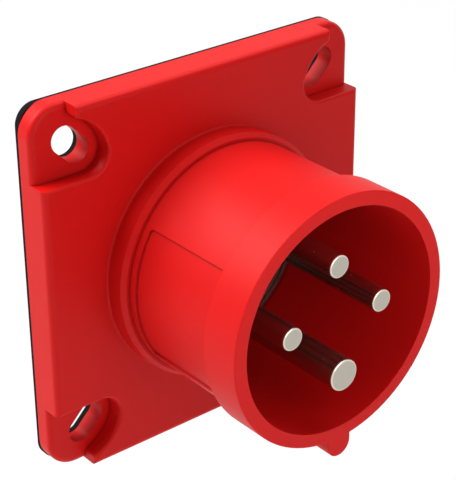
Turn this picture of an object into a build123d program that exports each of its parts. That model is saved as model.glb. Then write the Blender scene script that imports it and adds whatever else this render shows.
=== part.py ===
"""Pin and sleeve inlet for a panel, four pole, 16 A size, with a square flange.

Frame: millimetres, +Z up. The sleeve points along -Y and the key is at its underside.
The origin lies on the sleeve's axis, in the plane where the flange gasket meets the panel.
"""
from build123d import *
from math import cos, radians, sin, sqrt
import os

# Sleeve, collar and root ring
bore_radius = 24.75
sleeve_length = 41.0
sleeve_wall = 1.45
collar_wall = 3.05
collar_length = 9.3
rim_round = 0.25
ring_wall = 3.15
ring_height = 5.3
ring_bevel = 0.9
root_round = 0.5
hub_margin = 0.5

# Thinned panels on both sides of the sleeve
panel_depth = 0.5
panel_half_angle = 34.4
panel_margin = 1.9
panel_corner = 0.8

# Key under the sleeve
key_width = 6.0
key_height = 4.2

# Flange, its fixing slots and the lowered lands round them
flange_side = 84.0
flange_corner = 6.5
flange_thickness = 8.0
flange_edge_round = 1.3
land_step = 3.9
slot_width = 6.0
slot_inset = 9.3
slot_travel = 2.7
pocket_low = 6.5
pocket_side = 6.6
pocket_radius = 4.8
pocket_sweep = 11.0
pocket_lip = 2.5
pocket_lip_place = 0.5
pocket_lip_round = 0.9
pocket_edge_round = 0.7
core_wall = 3.0
core_slot_wall = 1.5
core_skirt_wall = 2.5
core_depth = 4.6
core_rib = 1.8
core_rib_place = 14.0

# Gasket between flange and panel
gasket_thickness = 1.5
gasket_inset = 0.4
gasket_corner = 4.5
gasket_hole_gap = 1.0
gasket_slot_gap = 0.15

# Rear skirt, the seat of the contact carrier and the screw bosses inside the skirt
seat_step = 2.45
seat_shoulder = 4.0
skirt_wall = 2.8
skirt_length = 10.0
boss_wall = 1.25
boss_clearance = 0.05
boss_angles = (90.0, 210.0, 330.0)
boss_hole_spare = 1.0
pip_radius = 0.8
pip_height = 1.4

# Clearances between fitted pieces
fit_gap = 0.2
slip_gap = 0.1
thread_gap = 0.05
seal_gap = 0.03
screw_hole_gap = 0.3

# Contact carrier, its seal and the terminal body
floor_rise = 0.2
carrier_rim_width = 1.1
carrier_rim_height = 0.8
carrier_rim_round = 0.3
carrier_shoulder = 5.0
pin_collar_wall = 1.5
pin_collar_height = 1.0
center_boss_radius = 5.0
center_boss_height = 0.6
seal_thickness = 1.2
seal_lip = 1.7
terminal_body_wall = 4.4
terminal_body_length = 16.5
terminal_body_round = 1.0
relief_radius = 6.0
relief_out = 0.5
relief_start = 3.0
relief_angles = (45.0, 135.0, 225.0, 315.0)

# Contacts
pin_circle = 12.0
phase_pin_radius = 2.5
earth_pin_radius = 3.5
phase_tip_back = 1.1
earth_tip_lead = 2.15
tip_round = 0.3
shank_step = 0.5
contact_collar_wall = 2.4
contact_collar_length = 2.5
phase_barrel_radius = 4.4
earth_barrel_radius = 4.9
barrel_recess = 1.5
barrel_round = 0.4
phase_wire_bore = 2.6
earth_wire_bore = 2.9
wire_bore_depth = 14.0
phase_names = {"phase_pin_1": 180.0, "phase_pin_2": 90.0, "phase_pin_3": 0.0}
earth_name = "earth_pin"
earth_angle = 270.0

# Terminal screws and wire guards
screw_core_radius = 1.9
screw_head_radius = 2.9
screw_head_length = 2.6
screw_slot_width = 0.8
screw_slot_depth = 1.2
screw_head_round = 0.3
screw_stand_off = 0.4
screw_reach = 1.05
screw_place = 6.0
guard_thickness = 0.8
guard_width = 3.6
guard_length = 9.0
guard_corner = 0.5

# Retaining ring, its screws and the centre screw
retainer_inset = 0.5
retainer_thickness = 2.6
retainer_round = 0.3
retainer_screw_core = 1.25
retainer_screw_head = 2.1
retainer_head_height = 1.8
retainer_screw_length = 10.0
center_screw_core = 2.0
center_head_radius = 3.6
center_head_height = 2.6
center_seat_depth = 9.0
center_thread_depth = 5.5
pan_round = 0.7
screw_tip_round = 0.4
cross_width = 0.9
cross_length = 2.6
cross_depth = 1.0

# How far cutting shapes run past the faces that they cut, and how near counts as the same place
overrun = 1.0
corner_overrun = 5.0
same_place = 0.01

# Places along the axis, worked out from the sizes above
flange_back = -gasket_thickness
flange_front = flange_back - flange_thickness
rim_plane = flange_front - sleeve_length
collar_back = rim_plane + collar_length
ring_front = flange_front - ring_height
seat_plane = flange_front + seat_shoulder
floor_plane = flange_front + floor_rise
carrier_face = floor_plane + carrier_rim_height
shank_plane = carrier_face - pin_collar_height
groove_front = floor_plane + seal_lip
groove_back = groove_front + seal_thickness + 2 * seal_gap
carrier_back = seat_plane + carrier_shoulder
skirt_end = skirt_length
body_end = skirt_end + terminal_body_length
barrel_end = body_end - barrel_recess
contact_seat = carrier_back - contact_collar_length
screw_plane = barrel_end - screw_place
center_seat = carrier_back + center_seat_depth
retainer_back = skirt_end + retainer_thickness

# Radii and half sizes worked out from the sizes above
sleeve_radius = bore_radius + sleeve_wall
collar_radius = bore_radius + collar_wall
ring_radius = bore_radius + ring_wall
key_tip = collar_radius + key_height
flange_half = flange_side / 2
slot_place = flange_half - slot_inset
hub_radius = ring_radius + root_round + hub_margin
seat_radius = bore_radius + seat_step
skirt_radius = seat_radius + skirt_wall
boss_hole = retainer_screw_core + thread_gap
boss_radius = boss_hole + boss_wall
boss_circle = bore_radius + boss_clearance + boss_radius
shell_radius = seat_radius - fit_gap
spigot_radius = bore_radius - fit_gap
groove_radius = bore_radius - seal_thickness - 2 * seal_gap
pip_circle = (bore_radius + seat_radius) / 2
tower_radius = pin_circle + earth_barrel_radius + fit_gap + terminal_body_wall


def turned(points, rounds=()):
    """A solid turned about the Y axis from (radius, y) points, with some corners rounded."""
    face = make_face(Polyline(*points, close=True))
    for corner, radius in rounds:
        near = face.vertices().sort_by_distance(Vector(*corner, 0))[0]
        face = fillet(near, radius)
    return revolve(face, Axis.Y)


def rod(radius, y_from, y_to, x=0.0, z=0.0):
    """A round bar along Y."""
    circle = Plane(origin=(x, y_from, z), z_dir=(0, 1, 0)) * Circle(radius)
    return extrude(circle, y_to - y_from)


def on_circle(radius, angle):
    """The (x, z) place at an angle about the axis, counted from +X towards +Z."""
    return radius * cos(radians(angle)), radius * sin(radians(angle))


def flat_plane(y):
    """A drawing plane across the axis, with its x along +X and its y along +Z, facing -Y."""
    return Plane(origin=(0, y, 0), x_dir=(1, 0, 0), z_dir=(0, -1, 0))


def four_corners(shape):
    """A sketch and its mirror images in all four corners."""
    pair = shape + mirror(shape, Plane.YZ)
    return pair + mirror(pair, Plane.XZ)


def slots(gap=0.0):
    """The four fixing slots, which run along the flange's diagonals, with a gap all round."""
    spread = slot_travel * sqrt(2)
    slot = SlotCenterToCenter(spread, slot_width + 2 * gap)
    return four_corners(Pos(slot_place, slot_place) * Rot(0, 0, 45) * slot)


def pockets():
    """The outlines of the four lowered lands, open to the flange's corners.

    A long curve sweeps from the straight lower wall to a short lip at the flange's upper edge.
    """
    reach = flange_half + corner_overrun
    low = slot_place - pocket_low
    foot = (slot_place - pocket_side, low)
    lip = (slot_place + pocket_lip_place, flange_half - pocket_lip)
    walls = Polyline(lip, (lip[0], reach), (reach, reach), (reach, low), foot)
    outline = make_face(walls + RadiusArc(foot, lip, pocket_sweep))
    outline = fillet(outline.vertices().sort_by_distance(Vector(*foot, 0))[0], pocket_radius)
    outline = fillet(outline.vertices().sort_by_distance(Vector(*lip, 0))[0], pocket_lip_round)
    return four_corners(outline)


def flange_plate():
    """The square flange: a plate at land height and the raised face between the four lands."""
    square = RectangleRounded(flange_side, flange_side, flange_corner)
    base = extrude(flat_plane(flange_back) * square, flange_thickness - land_step)
    base = fillet(front_edges(base), flange_edge_round)
    whole = extrude(flat_plane(flange_back) * square, flange_thickness)
    whole = fillet(front_edges(whole), flange_edge_round)
    wide = Rectangle(flange_side + 2 * overrun, flange_side + 2 * overrun) - pockets()
    raised = extrude(flat_plane(flange_back) * wide, flange_thickness)
    limit = flange_half + overrun - same_place
    walls = front_edges(raised).filter_by(lambda edge: furthest(edge.center()) < limit)
    raised = fillet(walls, pocket_edge_round)
    return base + (whole & raised)


def front_edges(shape):
    """The edges round a solid's foremost face."""
    return shape.faces().sort_by(Axis.Y)[0].edges()


def furthest(point):
    """The larger of a point's distances from the two planes through the axis."""
    return max(abs(point.X), abs(point.Z))


def rear_cores():
    """Hollows in the flange's back, under the gasket, with ribs between them."""
    width = flange_side - 2 * core_wall
    area = RectangleRounded(width, width, flange_corner - core_wall) - Circle(skirt_radius + core_skirt_wall)
    corner = flange_half - slot_place + pocket_side + core_slot_wall
    area -= four_corners(Pos(flange_half - corner / 2, flange_half - corner / 2) * Rectangle(corner, corner))
    for place in (-core_rib_place, core_rib_place):
        area -= Pos(place, 0) * Rectangle(core_rib, flange_side)
        area -= Pos(0, place) * Rectangle(flange_side, core_rib)
    return extrude(flat_plane(flange_back) * area, core_depth)


def side_panel(angle):
    """The shallow recess in one side of the sleeve, between the root ring and the collar."""
    start = ring_front - panel_margin
    shell = turned([
        (sleeve_radius - panel_depth, collar_back),
        (sleeve_radius + overrun, collar_back),
        (sleeve_radius + overrun, start),
        (sleeve_radius - panel_depth, start),
    ])
    reach = 3 * sleeve_radius
    ends = [on_circle(reach, angle + side * panel_half_angle) for side in (-1, 1)]
    wedge = make_face(Polyline((0, 0), *ends, close=True))
    wedge = extrude(flat_plane(start) * wedge, start - collar_back)
    panel = shell & wedge
    corners = panel.edges().filter_by(GeomType.LINE).filter_by(lambda edge: edge.center().Y > start - same_place)
    return fillet(corners, panel_corner)


def key_rib():
    """The key at six o'clock, from the flange's face to the rim, with a round underside."""
    half = key_width / 2
    center = key_tip - half
    root = bore_radius + sleeve_wall / 2
    outline = Pos(0, -center) * Circle(half)
    outline += Pos(0, -(center + root) / 2) * Rectangle(key_width, center - root)
    return extrude(flat_plane(flange_front) * outline, sleeve_length)


def housing():
    """Flange, sleeve, collar, key and rear skirt, moulded as one piece."""
    shape = turned(
        [
            (bore_radius, rim_plane),
            (collar_radius, rim_plane),
            (collar_radius, collar_back),
            (sleeve_radius, collar_back),
            (sleeve_radius, ring_front),
            (ring_radius - ring_bevel, ring_front),
            (ring_radius, ring_front + ring_bevel),
            (ring_radius, flange_front),
            (hub_radius, flange_front),
            (hub_radius, flange_back),
            (skirt_radius, flange_back),
            (skirt_radius, skirt_end),
            (seat_radius, skirt_end),
            (seat_radius, seat_plane),
            (bore_radius, seat_plane),
        ],
        [
            ((collar_radius, rim_plane), rim_round),
            ((ring_radius, flange_front), root_round),
        ],
    )
    shape += flange_plate() - rod(hub_radius - hub_margin, flange_front - overrun, flange_back + overrun)
    shape += key_rib()
    screw_tip = retainer_back - retainer_screw_length
    for angle in boss_angles:
        place = on_circle(boss_circle, angle)
        shape += rod(boss_radius, seat_plane - overrun, skirt_end, *place)
        shape -= rod(boss_hole, screw_tip - boss_hole_spare, skirt_end + overrun, *place)
    for angle in (0.0, 180.0):
        shape -= side_panel(angle)
    shape -= rear_cores()
    shape -= extrude(flat_plane(flange_back + overrun) * slots(), flange_thickness + 2 * overrun)
    return shape + rod(pip_radius, seat_plane - overrun, seat_plane + pip_height, 0, -pip_circle)


def flange_gasket():
    """Flat rubber frame between the flange and the panel."""
    side = flange_side - 2 * gasket_inset
    sheet = RectangleRounded(side, side, gasket_corner) - Circle(skirt_radius + gasket_hole_gap)
    sheet -= slots(gasket_slot_gap)
    return extrude(flat_plane(0) * sheet, gasket_thickness)


def contacts():
    """Name, angle, pin radius, barrel radius, wire bore and tip plane of each contact."""
    phase_tip = rim_plane + phase_tip_back
    rows = [
        (name, angle, phase_pin_radius, phase_barrel_radius, phase_wire_bore, phase_tip)
        for name, angle in phase_names.items()
    ]
    earth_tip = phase_tip - earth_tip_lead
    rows.append((earth_name, earth_angle, earth_pin_radius, earth_barrel_radius, earth_wire_bore, earth_tip))
    return rows


def boss_notches(y_from, y_to):
    """Room for the skirt's screw bosses in what slides into the skirt."""
    places = [on_circle(boss_circle, angle) for angle in boss_angles]
    return [rod(boss_radius + fit_gap, y_from, y_to, x, z) for x, z in places]


def contact_carrier():
    """Front insulator: the floor of the sleeve, which the four pins pass through."""
    shape = turned(
        [
            (0, carrier_face),
            (spigot_radius - carrier_rim_width, carrier_face),
            (spigot_radius - carrier_rim_width, floor_plane),
            (spigot_radius, floor_plane),
            (spigot_radius, groove_front),
            (groove_radius, groove_front),
            (groove_radius, groove_back),
            (spigot_radius, groove_back),
            (spigot_radius, seat_plane),
            (shell_radius, seat_plane),
            (shell_radius, carrier_back),
            (0, carrier_back),
        ],
        [((spigot_radius, floor_plane), carrier_rim_round)],
    )
    shape += rod(center_boss_radius, carrier_face - center_boss_height, carrier_face + overrun)
    for _, angle, pin, _, _, _ in contacts():
        x, z = on_circle(pin_circle, angle)
        shank = pin + shank_step
        shape += rod(shank + pin_collar_wall, shank_plane, carrier_face + overrun, x, z)
        shape -= rod(shank + slip_gap, shank_plane - overrun, carrier_back + overrun, x, z)
        shape -= rod(shank + contact_collar_wall + slip_gap, contact_seat, carrier_back + overrun, x, z)
    shape -= rod(center_screw_core + thread_gap, carrier_back - center_thread_depth, carrier_back + overrun)
    for notch in boss_notches(seat_plane, carrier_back + overrun):
        shape -= notch
    return shape - rod(pip_radius + slip_gap, seat_plane, seat_plane + pip_height + slip_gap, 0, -pip_circle)


def carrier_seal():
    """Rubber ring in the carrier's groove, against the sleeve's bore."""
    half = seal_thickness / 2
    section = Pos(bore_radius - seal_gap - half, groove_front + seal_gap + half) * Circle(half)
    return revolve(section, Axis.Y)


def terminal_body():
    """Rear insulator: holds the contacts in the carrier and shields their terminals."""
    shape = turned(
        [
            (0, carrier_back),
            (shell_radius, carrier_back),
            (shell_radius, skirt_end),
            (tower_radius, skirt_end),
            (tower_radius, body_end),
            (0, body_end),
        ],
        [((tower_radius, body_end), terminal_body_round)],
    )
    for _, angle, _, barrel, _, _ in contacts():
        x, z = on_circle(pin_circle, angle)
        shape -= rod(barrel + fit_gap, carrier_back - overrun, body_end + overrun, x, z)
        mouth = Plane(origin=(x, screw_plane, z), z_dir=(x, 0, z)) * Circle(screw_head_radius + fit_gap)
        shape -= extrude(mouth, tower_radius)
    for angle in relief_angles:
        place = on_circle(tower_radius + relief_out, angle)
        shape -= rod(relief_radius, skirt_end + relief_start, body_end + overrun, *place)
    shape -= rod(center_screw_core + slip_gap, carrier_back - overrun, center_seat + overrun)
    shape -= rod(center_head_radius + fit_gap, center_seat, body_end + overrun)
    for notch in boss_notches(carrier_back - overrun, skirt_end + overrun):
        shape -= notch
    return shape


def contact(angle, pin, barrel, wire, tip):
    """A turned contact: pin, shank, collar that the insulators clamp, and screw terminal barrel."""
    shank = pin + shank_step
    collar = shank + contact_collar_wall
    shape = turned(
        [
            (0, tip),
            (pin, tip),
            (pin, shank_plane),
            (shank, shank_plane),
            (shank, contact_seat),
            (collar, contact_seat),
            (collar, carrier_back),
            (barrel, carrier_back),
            (barrel, barrel_end),
            (0, barrel_end),
        ],
        [((pin, tip), tip_round), ((barrel, barrel_end), barrel_round)],
    )
    shape -= rod(wire, barrel_end - wire_bore_depth, barrel_end + overrun)
    tap = Plane(origin=(0, screw_plane, 0), z_dir=(1, 0, 0)) * Circle(screw_core_radius + thread_gap)
    shape -= extrude(tap, barrel + overrun)
    return placed(shape, angle)


def placed(shape, angle):
    """A piece drawn about the axis with its terminal screw towards +X, moved to its contact's place."""
    x, z = on_circle(pin_circle, angle)
    return Pos(x, 0, z) * Rot(0, -angle, 0) * shape


def terminal_screw(angle, barrel, wire):
    """Slotted terminal screw, whose tip presses on the wire guard."""
    tip = wire - screw_reach
    seat = barrel + screw_stand_off
    across = Plane(origin=(tip, screw_plane, 0), z_dir=(1, 0, 0))
    shape = extrude(across * Circle(screw_core_radius), seat - tip)
    head = Plane(origin=(seat, screw_plane, 0), z_dir=(1, 0, 0))
    cap = extrude(head * Circle(screw_head_radius), screw_head_length)
    shape += fillet(cap.edges().sort_by(Axis.X)[-1], screw_head_round)
    slot = Box(2 * screw_slot_depth, 3 * screw_head_radius, screw_slot_width)
    shape -= Pos(seat + screw_head_length, screw_plane, 0) * slot
    return placed(shape, angle)


def wire_guard(angle, wire):
    """Small plate in the barrel's bore, between the screw's tip and the wire."""
    plate = Box(guard_thickness, guard_length, guard_width)
    plate = fillet(plate.edges().filter_by(Axis.X), guard_corner)
    return placed(Pos(wire - screw_reach - guard_thickness / 2, screw_plane, 0) * plate, angle)


def retaining_ring():
    """Flat ring that presses the terminal body and the carrier against their seat."""
    outline = Circle(skirt_radius - retainer_inset) - Circle(tower_radius + fit_gap)
    for angle in boss_angles:
        outline -= Pos(*on_circle(boss_circle, angle)) * Circle(retainer_screw_core + screw_hole_gap)
    shape = extrude(flat_plane(retainer_back) * outline, retainer_thickness)
    rear = shape.faces().sort_by(Axis.Y)[-1]
    return fillet(rear.outer_wire().edges(), retainer_round)


def cross_screw(core, head, head_height, length, seat):
    """Pan head screw along the axis, its head on the seat plane, with a cross recess."""
    top = seat + head_height
    tip = seat - length
    shape = turned(
        [(0, tip), (core, tip), (core, seat), (head, seat), (head, top), (0, top)],
        [((head, top), pan_round), ((core, tip), screw_tip_round)],
    )
    for turn in (0, 90):
        shape -= Pos(0, top, 0) * Rot(0, turn, 0) * Box(cross_length, 2 * cross_depth, cross_width)
    return shape


def retainer_screw(angle):
    """One of the screws that pull the retaining ring to the skirt's bosses."""
    x, z = on_circle(boss_circle, angle)
    return Pos(x, 0, z) * cross_screw(
        retainer_screw_core, retainer_screw_head, retainer_head_height, retainer_screw_length, retainer_back
    )


def center_screw():
    """The screw that holds the two insulators together."""
    length = center_seat_depth + center_thread_depth - screw_hole_gap
    return cross_screw(center_screw_core, center_head_radius, center_head_height, length, center_seat)


def pieces():
    """Every piece of the inlet by its name."""
    found = {
        "housing": housing(),
        "flange_gasket": flange_gasket(),
        "contact_carrier": contact_carrier(),
        "carrier_seal": carrier_seal(),
        "terminal_body": terminal_body(),
        "retaining_ring": retaining_ring(),
    }
    for name, angle, pin, barrel, wire, tip in contacts():
        found[name] = contact(angle, pin, barrel, wire, tip)
        found[name.replace("pin", "terminal_screw")] = terminal_screw(angle, barrel, wire)
        found[name.replace("pin", "wire_guard")] = wire_guard(angle, wire)
    for number, angle in enumerate(boss_angles, start=1):
        found[f"retainer_screw_{number}"] = retainer_screw(angle)
    found["center_screw"] = center_screw()
    return found


def main():
    os.makedirs("parts", exist_ok=True)
    for name, shape in pieces().items():
        shape = shape.solids()[0] if len(shape.solids()) == 1 else shape
        export_step(shape, f"parts/{name}.step")
        print(name, len(shape.solids()), round(shape.volume, 1))


main()
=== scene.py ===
"""Finishes, studio and camera of the pin and sleeve inlet, in metres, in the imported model's own frame.

The sleeve points along -Y, +Z is up, and the origin lies on the sleeve's axis in the panel's plane.
"""

from math import cos, radians, sin, tau

import bpy
from mathutils import Matrix, Vector


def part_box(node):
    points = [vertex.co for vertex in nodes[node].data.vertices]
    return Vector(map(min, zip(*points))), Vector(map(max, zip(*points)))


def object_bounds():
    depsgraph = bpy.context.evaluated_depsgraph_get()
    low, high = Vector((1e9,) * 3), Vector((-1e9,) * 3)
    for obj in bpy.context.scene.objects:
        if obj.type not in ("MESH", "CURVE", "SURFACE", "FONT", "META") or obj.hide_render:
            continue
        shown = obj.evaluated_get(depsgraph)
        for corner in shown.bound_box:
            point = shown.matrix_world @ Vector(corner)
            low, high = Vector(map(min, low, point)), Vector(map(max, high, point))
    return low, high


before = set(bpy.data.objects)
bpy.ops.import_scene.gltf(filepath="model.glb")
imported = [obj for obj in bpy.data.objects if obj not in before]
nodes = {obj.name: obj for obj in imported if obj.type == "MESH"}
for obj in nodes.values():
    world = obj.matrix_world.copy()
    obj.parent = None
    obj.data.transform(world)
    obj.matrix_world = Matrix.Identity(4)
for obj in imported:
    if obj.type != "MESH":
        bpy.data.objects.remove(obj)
cad_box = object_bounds()

MM = 0.001

# Camera, at the photograph's viewing angle
CAMERA_PLACE = Vector((-193.8, -253.6, 163.9)) * MM
CAMERA_AZIMUTH = radians(39.04)
CAMERA_ELEVATION = radians(27.44)
CAMERA_ROLL = radians(0.44)
CAMERA_LENS = 122.1
CAMERA_NEAR = 10 * MM

# Studio: three soft round lamps, a white surround and a pale floor below the part.
# A lamp has its azimuth from the front towards +X and its elevation in degrees, its distance and
# width in metres, and its power in watts. The floor turns wholly white between the two distances of its fade.
LAMPS = {
    "key": (230, 50, 1.0, 0.8, 15.6),
    "side": (97, 65, 1.0, 0.7, 4.1),
    "front": (-5, 20, 0.165, 0.12, 0.107),
}
SURROUND_FILL = 0.15
FLOOR_DROP = 60 * MM
FLOOR_SIDE = 3.0
FLOOR_TONE = (0.86, 0.86, 0.86, 1)
FLOOR_GLOW = 0.8
FLOOR_FADE = (0.2, 0.9)
WHITE = (1, 1, 1, 1)

# Colours of the pieces, as light reflected
HOUSING_RED = (0.58, 0.005, 0.0045)
RUBBER_BLACK = (0.005, 0.005, 0.0055)
INSULATOR_BLACK = (0.026, 0.026, 0.028)
CARRIER_BLACK = (0.110, 0.032, 0.028)
PLATING_TONE = (0.475, 0.44, 0.375)
ZINC_TONE = (0.60, 0.60, 0.59)

# How strongly the pieces reflect, and how rough they are before the noise that varies it
HOUSING_SHEEN = 0.14
HOUSING_ROUGHNESS = 0.43
RUBBER_SHEEN = 0.05
RUBBER_ROUGHNESS = 0.62
CARRIER_ROUGHNESS = 0.22
INSULATOR_ROUGHNESS = 0.46
TURNED_ROUGHNESS = 0.20
ZINC_ROUGHNESS = 0.30

# How much rougher the sleeve and a turned piece's plain side are, and how much each noise adds at most
SLEEVE_ROUGHER = 0.03
SIDE_ROUGHER = 0.03
HOUSING_SPREAD = 0.05
RUBBER_SPREAD = 0.2
INSULATOR_SPREAD = 0.12
TURNED_SPREAD = 0.06
ZINC_SPREAD = 0.18

# Finish of the moulded pieces: how far edges look rounded, how far and how darkly shade is painted into inner
# corners, the radii between which the sleeve's finish passes into the flange's, and the sizes and shades of
# grain, dust and flecks. A shade is a factor on the colour, a range is where a mask sets in and where it is
# full, and a relief is the depth that a bump's full height stands for, and how strongly the bump shows.
HOUSING_EDGE = 0.12 * MM
PAINTED_SHADE_REACH = 0.9 * MM
PAINTED_SHADE_RANGE = (0.40, 0.95)
PAINTED_CREASE_SHADE = 0.62
CLOUD_GRAIN = 26 * MM
CLOUD_SHADES = (0.96, 1.06)
GLOSS_GRAIN = 7 * MM
SLEEVE_BLEND = (28 * MM, 31 * MM)
SPARK_GRAIN = 0.32 * MM
SPARK_RELIEF = (0.010 * MM, 0.5)
RIPPLE_WIDTH = 14 * MM
RIPPLE_RELIEF = (0.05 * MM, 0.4)
DUST_GRAIN = 1.4 * MM
DUST_RANGE = (0.45, 0.8)
DUST_SHADE = 2.2
PIT_GRAIN = 0.25 * MM
PIT_RELIEF = (0.02 * MM, 0.6)
INSULATOR_EDGE = 0.25 * MM
INSULATOR_GRAIN = 4 * MM
FLECK_GRAIN = 0.5 * MM
FLECK_RANGE = (0.62, 0.72)
FLECK_SHADE = 2.0
SKIN_GRAIN = 0.3 * MM
SKIN_RELIEF = (0.012 * MM, 0.6)

# Finish of the turned pieces: their smear, the spacing, relief and wander of the rings, the stretch from the
# end where the wear and painted highlight fade out, and the distances in from the radius between which they
# and the plain side set in
SMEAR_GRAIN = 1.1 * MM
SMEAR_SHADES = (0.93, 1.06)
# The lighter end edge is partly wear and partly a painted highlight, standing in for light on the rounded
# edge.
WORN_HIGHLIGHT_SHADE = 1.45
PIN_TURNS = 0.30 * MM
SCREW_TURNS = 0.22 * MM
TURN_RELIEF = (0.0015 * MM, 0.35)
WANDER_GRAIN = 3 * MM
WANDER_TURN = 2.0
END_WEAR_AND_HIGHLIGHT = (0.4 * MM, 0.8 * MM)
EDGE_WEAR_AND_HIGHLIGHT = (0.50 * MM, 0.15 * MM)
SIDE_FROM = (0.30 * MM, 0.10 * MM)

# Finish of the zinc plated pieces
PATCH_GRAIN = 0.8 * MM
PATCH_SHADES = (0.85, 1.1)
ZINC_GRAIN = 0.2 * MM
ZINC_RELIEF = (0.006 * MM, 0.5)

# How far from its end a turned piece's radius is measured
TIP_REACH = 1.0 * MM


class Value:
    """A shader socket that takes part in arithmetic: each operation on it adds a Math node."""

    def __init__(self, graph, socket):
        self.graph = graph
        self.socket = socket

    def __add__(self, other):
        return self.graph.math("ADD", self, other)

    def __sub__(self, other):
        return self.graph.math("SUBTRACT", self, other)

    def __rsub__(self, other):
        return self.graph.math("SUBTRACT", other, self)

    def __mul__(self, other):
        return self.graph.math("MULTIPLY", self, other)

    __radd__ = __add__
    __rmul__ = __mul__


class Graph:
    """The node tree of one material, of the floor or of the surround.

    Sockets go by their names, and by their numbers where a node has several of one name.
    """

    def __init__(self, tree):
        self.tree = tree
        tree.nodes.clear()

    def add(self, kind, settings=None, inputs=None, output=0):
        """One node: its settings first, then its sockets' values or links. Gives back one output, if any."""
        node = self.tree.nodes.new(kind)
        for name, value in (settings or {}).items():
            setattr(node, name, value)
        for name, value in (inputs or {}).items():
            if isinstance(value, Value):
                self.tree.links.new(value.socket, node.inputs[name])
            else:
                node.inputs[name].default_value = value
        return Value(self, node.outputs[output]) if node.outputs else None

    def math(self, operation, *values, clamp=False):
        settings = {"operation": operation, "use_clamp": clamp}
        return self.add("ShaderNodeMath", settings, dict(enumerate(values)))

    def mix(self, factor, low, high):
        """A colour between two others."""
        return self.add("ShaderNodeMix", {"data_type": "RGBA"}, {0: factor, 6: low, 7: high}, 2)

    def place(self):
        """The point on the surface, in the model's frame."""
        return self.add("ShaderNodeTexCoord", output="Object")

    def noise(self, grain, detail=2.0, rough=0.5):
        """Cloudy noise from 0 to 1, with cells of about that size in metres."""
        inputs = {"Vector": self.place(), "Scale": 1 / grain, "Detail": detail, "Roughness": rough}
        return self.add("ShaderNodeTexNoise", None, inputs)

    def bump(self, height, relief, normal=None):
        """A normal from a height map, with its relief: a depth in metres and a strength."""
        inputs = {"Height": height, "Distance": relief[0], "Strength": relief[1]}
        if normal:
            inputs["Normal"] = normal
        return self.add("ShaderNodeBump", None, inputs)

    def steps(self, value, low, high):
        """0 below low, 1 above high, and a smooth rise between them."""
        settings = {"interpolation_type": "SMOOTHSTEP"}
        return self.add("ShaderNodeMapRange", settings, {"Value": value, 1: low, 2: high, 3: 0.0, 4: 1.0})


def material(name, color, **constants):
    """A new material with its graph and its Principled shader's inputs, of which the constants are set."""
    made = bpy.data.materials.new(name)
    made.use_nodes = True
    graph = Graph(made.node_tree)
    inputs = {"Base Color": (*color, 1)}
    inputs.update({key.replace("_", " "): value for key, value in constants.items()})
    return made, graph, inputs


def finished(made, graph, inputs):
    """Close a material: its Principled shader to its output."""
    shader = graph.add("ShaderNodeBsdfPrincipled", None, inputs)
    graph.add("ShaderNodeOutputMaterial", None, {"Surface": shader})
    return made


def dress(made, *names):
    """Give CAD nodes one material."""
    for name in names:
        mesh = nodes[name].data
        mesh.materials.clear()
        mesh.materials.append(made)


def from_axis(graph, center):
    """Distance in metres from a line along Y through a point."""
    point = graph.add("ShaderNodeVectorMath", {"operation": "SUBTRACT"}, {0: graph.place(), 1: center})
    flat = graph.add("ShaderNodeVectorMath", {"operation": "MULTIPLY"}, {0: point, 1: (1, 0, 1)})
    return graph.add("ShaderNodeVectorMath", {"operation": "LENGTH"}, {0: flat}, "Value")


def shade(color, factor):
    """A colour made darker or lighter, with full alpha."""
    return (*(min(1.0, part * factor) for part in color), 1)


def shades(color, factors):
    """The same for a pair of factors."""
    return [shade(color, factor) for factor in factors]


def soft_edges(graph, radius):
    """A normal that rounds the sharp edges of a moulded piece."""
    return graph.add("ShaderNodeBevel", {"samples": 6}, {"Radius": radius})


def painted_crease_shade(graph, reach):
    """Mask for painted shade in inner corners: 1 on open surfaces and less in corners, within that reach of
    what shuts them in.
    """
    open_sky = graph.add("ShaderNodeAmbientOcclusion", {"samples": 8}, {"Distance": reach}, "AO")
    return graph.steps(open_sky, *PAINTED_SHADE_RANGE)


def housing_red():
    """Moulded red plastic: spark grain, painted shade in creases, a rougher sleeve, uneven colour and gloss.
    """
    made, graph, inputs = material("housing_red", HOUSING_RED, Specular_IOR_Level=HOUSING_SHEEN)
    cloud = graph.noise(CLOUD_GRAIN, detail=3)
    fresh = graph.mix(cloud, *shades(HOUSING_RED, CLOUD_SHADES))
    # Painted shade: the colour darkens in inner corners, where ambient occlusion finds them shut in.
    inputs["Base Color"] = graph.mix(painted_crease_shade(graph, PAINTED_SHADE_REACH), shade(HOUSING_RED, PAINTED_CREASE_SHADE), fresh)
    sleeve = 1 - graph.steps(from_axis(graph, (0, 0, 0)), *SLEEVE_BLEND)
    gloss = graph.noise(GLOSS_GRAIN)
    inputs["Roughness"] = HOUSING_ROUGHNESS + SLEEVE_ROUGHER * sleeve + HOUSING_SPREAD * gloss
    grain = graph.noise(SPARK_GRAIN, detail=3, rough=0.6)
    waves = graph.noise(RIPPLE_WIDTH, detail=1)
    ripple = graph.bump(waves, RIPPLE_RELIEF, soft_edges(graph, HOUSING_EDGE))
    inputs["Normal"] = graph.bump(grain, SPARK_RELIEF, ripple)
    return finished(made, graph, inputs)


def gasket_rubber():
    """Black rubber with a dusty, slightly pitted skin."""
    made, graph, inputs = material("gasket_rubber", RUBBER_BLACK, Specular_IOR_Level=RUBBER_SHEEN)
    dust = graph.noise(DUST_GRAIN, detail=5, rough=0.7)
    dusty = graph.steps(dust, *DUST_RANGE)
    inputs["Base Color"] = graph.mix(dusty, *shades(RUBBER_BLACK, (1, DUST_SHADE)))
    inputs["Roughness"] = RUBBER_ROUGHNESS + RUBBER_SPREAD * dust
    inputs["Normal"] = graph.bump(graph.noise(PIT_GRAIN, detail=3), PIT_RELIEF)
    return finished(made, graph, inputs)


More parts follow.
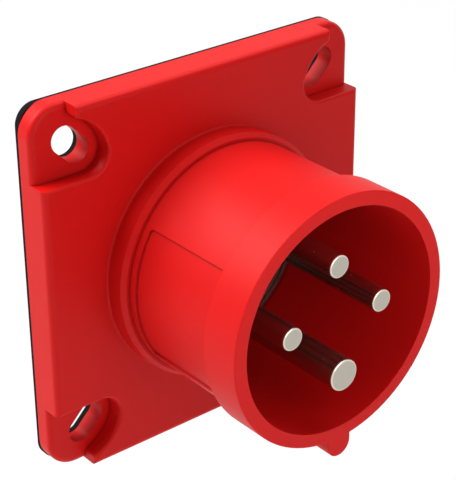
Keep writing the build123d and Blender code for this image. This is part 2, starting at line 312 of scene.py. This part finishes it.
def insulator(name, tone, roughness):
    """Glass filled plastic: fine pale flecks and soft moulded edges."""
    made, graph, inputs = material(name, tone)
    flecks = graph.steps(graph.noise(FLECK_GRAIN, detail=4, rough=0.8), *FLECK_RANGE)
    inputs["Base Color"] = graph.mix(flecks, *shades(tone, (1, FLECK_SHADE)))
    inputs["Roughness"] = roughness + INSULATOR_SPREAD * graph.noise(INSULATOR_GRAIN)
    grain = graph.noise(SKIN_GRAIN, detail=3)
    inputs["Normal"] = graph.bump(grain, SKIN_RELIEF, soft_edges(graph, INSULATOR_EDGE))
    return finished(made, graph, inputs)


def turned_metal(name, tone, center, radius, end, pitch):
    """Plated metal about a line along Y, whose end face has fine rings from turning and a lighter edge of
    wear and painted highlight.
    """
    made, graph, inputs = material(name, tone, Metallic=1.0)
    smear = graph.noise(SMEAR_GRAIN, detail=4, rough=0.6)
    away = from_axis(graph, center)
    along = graph.add("ShaderNodeSeparateXYZ", None, {"Vector": graph.place()}, "Y")
    near_end = 1 - graph.steps(graph.math("ABSOLUTE", along - end), *END_WEAR_AND_HIGHLIGHT)
    # Painted highlight with wear: the outer edge of the end face is made lighter, as where its rounding
    # catches light.
    worn_and_highlight = near_end * graph.steps(away, radius - EDGE_WEAR_AND_HIGHLIGHT[0], radius - EDGE_WEAR_AND_HIGHLIGHT[1])
    plated = graph.mix(smear, *shades(tone, SMEAR_SHADES))
    inputs["Base Color"] = graph.mix(worn_and_highlight, plated, shade(tone, WORN_HIGHLIGHT_SHADE))
    turns = away * (tau / pitch)
    side = graph.steps(away, radius - SIDE_FROM[0], radius - SIDE_FROM[1])
    inputs["Roughness"] = TURNED_ROUGHNESS + TURNED_SPREAD * smear + SIDE_ROUGHER * side
    rings = graph.math("SINE", turns + WANDER_TURN * graph.noise(WANDER_GRAIN))
    inputs["Normal"] = graph.bump(rings * (1 - side), TURN_RELIEF)
    return finished(made, graph, inputs)


def zinc_plate():
    """Zinc plated steel of the terminal screws and the wire guards."""
    made, graph, inputs = material("zinc_plate", ZINC_TONE, Metallic=1.0)
    patches = graph.noise(PATCH_GRAIN, detail=4)
    inputs["Base Color"] = graph.mix(patches, *shades(ZINC_TONE, PATCH_SHADES))
    inputs["Roughness"] = ZINC_ROUGHNESS + ZINC_SPREAD * patches
    inputs["Normal"] = graph.bump(graph.noise(ZINC_GRAIN), ZINC_RELIEF)
    return finished(made, graph, inputs)


def dress_turned(name, finish, tone, pitch, end):
    """Dress a turned piece, whose axis comes from its box and its radius from the mesh near its end."""
    low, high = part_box(name)
    center = (low + high) / 2
    places = [nodes[name].matrix_world @ vertex.co for vertex in nodes[name].data.vertices]
    radius = max(place.x - center[0] for place in places if abs(place.y - end) < TIP_REACH)
    dress(turned_metal(f"{name}_{finish}", tone, center, radius, end, pitch), name)


def dress_pieces():
    """Every piece of the inlet gets its finish."""
    dress(housing_red(), "housing")
    dress(gasket_rubber(), "flange_gasket", "carrier_seal")
    dress(insulator("carrier_black", CARRIER_BLACK, CARRIER_ROUGHNESS), "contact_carrier")
    rear_black = insulator("insulator_black", INSULATOR_BLACK, INSULATOR_ROUGHNESS)
    dress(rear_black, "terminal_body", "retaining_ring")
    for name in sorted(nodes):
        if name.endswith("pin") or "_pin_" in name:
            dress_turned(name, "plating", PLATING_TONE, PIN_TURNS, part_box(name)[0][1])
        elif "retainer_screw" in name or name == "center_screw":
            dress_turned(name, "zinc", ZINC_TONE, SCREW_TURNS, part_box(name)[1][1])
    dress(zinc_plate(), *(name for name in sorted(nodes) if "terminal_screw" in name or "wire_guard" in name))


def seen_directly(graph):
    """1 for rays from the camera and for those that metal and glass reflect or pass, else 0."""
    paths = [graph.add("ShaderNodeLightPath", output=kind) for kind in
             ("Is Camera Ray", "Is Glossy Ray", "Is Transmission Ray")]
    return graph.math("ADD", paths[0] + paths[1], paths[2], clamp=True)


def surround():
    """A white surround that fills the shadows at a lower level."""
    world = bpy.data.worlds.new("surround")
    world.use_nodes = True
    graph = Graph(world.node_tree)
    level = SURROUND_FILL + (1 - SURROUND_FILL) * seen_directly(graph)
    sky = graph.add("ShaderNodeBackground", None, {"Color": WHITE, "Strength": level})
    graph.add("ShaderNodeOutputWorld", None, {"Surface": sky})
    bpy.context.scene.world = world


def floor():
    """A pale floor, almost white as it is seen, which still takes the part's shadow."""
    half = FLOOR_SIDE / 2
    height = cad_box[0][2] - FLOOR_DROP
    mesh = bpy.data.meshes.new("floor")
    corners = [(-half, -half, height), (half, -half, height), (half, half, height), (-half, half, height)]
    mesh.from_pydata(corners, [], [(0, 1, 2, 3)])
    plane = bpy.data.objects.new("floor", mesh)
    bpy.context.scene.collection.objects.link(plane)
    made = bpy.data.materials.new("pale_floor")
    made.use_nodes = True
    graph = Graph(made.node_tree)
    lit = graph.add("ShaderNodeBsdfDiffuse", None, {"Color": FLOOR_TONE})
    glow = graph.add("ShaderNodeEmission", None, {"Color": WHITE, "Strength": 1.0})
    away = graph.add("ShaderNodeVectorMath", {"operation": "LENGTH"}, {0: graph.place()}, "Value")
    white = FLOOR_GLOW + (1 - FLOOR_GLOW) * graph.steps(away, *FLOOR_FADE)
    blend = graph.add("ShaderNodeMixShader", None, {0: white * seen_directly(graph), 1: lit, 2: glow})
    graph.add("ShaderNodeOutputMaterial", None, {"Surface": blend})
    mesh.materials.append(made)


def lamp(name, azimuth, elevation, distance, width, power):
    """A round soft lamp that faces the middle of the part and that the camera doesn't see."""
    around, up = radians(azimuth), radians(elevation)
    direction = Vector((cos(up) * sin(around), -cos(up) * cos(around), sin(up)))
    middle = (Vector(cad_box[0]) + Vector(cad_box[1])) / 2
    light = bpy.data.lights.new(name, "AREA")
    light.shape = "DISK"
    light.size = width
    light.energy = power
    holder = bpy.data.objects.new(name, light)
    holder.location = middle + direction * distance
    holder.rotation_euler = direction.to_track_quat("Z", "Y").to_euler()
    holder.visible_camera = False
    bpy.context.scene.collection.objects.link(holder)


def studio_camera():
    """The camera, aimed by its azimuth, elevation and roll."""
    forward = Vector((
        sin(CAMERA_AZIMUTH) * cos(CAMERA_ELEVATION),
        cos(CAMERA_AZIMUTH) * cos(CAMERA_ELEVATION),
        -sin(CAMERA_ELEVATION),
    ))
    level = Vector((cos(CAMERA_AZIMUTH), -sin(CAMERA_AZIMUTH), 0))
    right = cos(CAMERA_ROLL) * level + sin(CAMERA_ROLL) * forward.cross(level)
    down = forward.cross(right)
    data = bpy.data.cameras.new("camera")
    data.lens = CAMERA_LENS
    data.clip_start = CAMERA_NEAR
    camera = bpy.data.objects.new("camera", data)
    turn = Matrix((right, -down, -forward)).transposed().to_4x4()
    camera.matrix_world = Matrix.Translation(CAMERA_PLACE) @ turn
    bpy.context.scene.collection.objects.link(camera)
    bpy.context.scene.camera = camera


studio_camera()
surround()
floor()
for title, settings in LAMPS.items():
    lamp(title, *settings)
dress_pieces()
bpy.context.scene.view_settings.view_transform = "Standard"
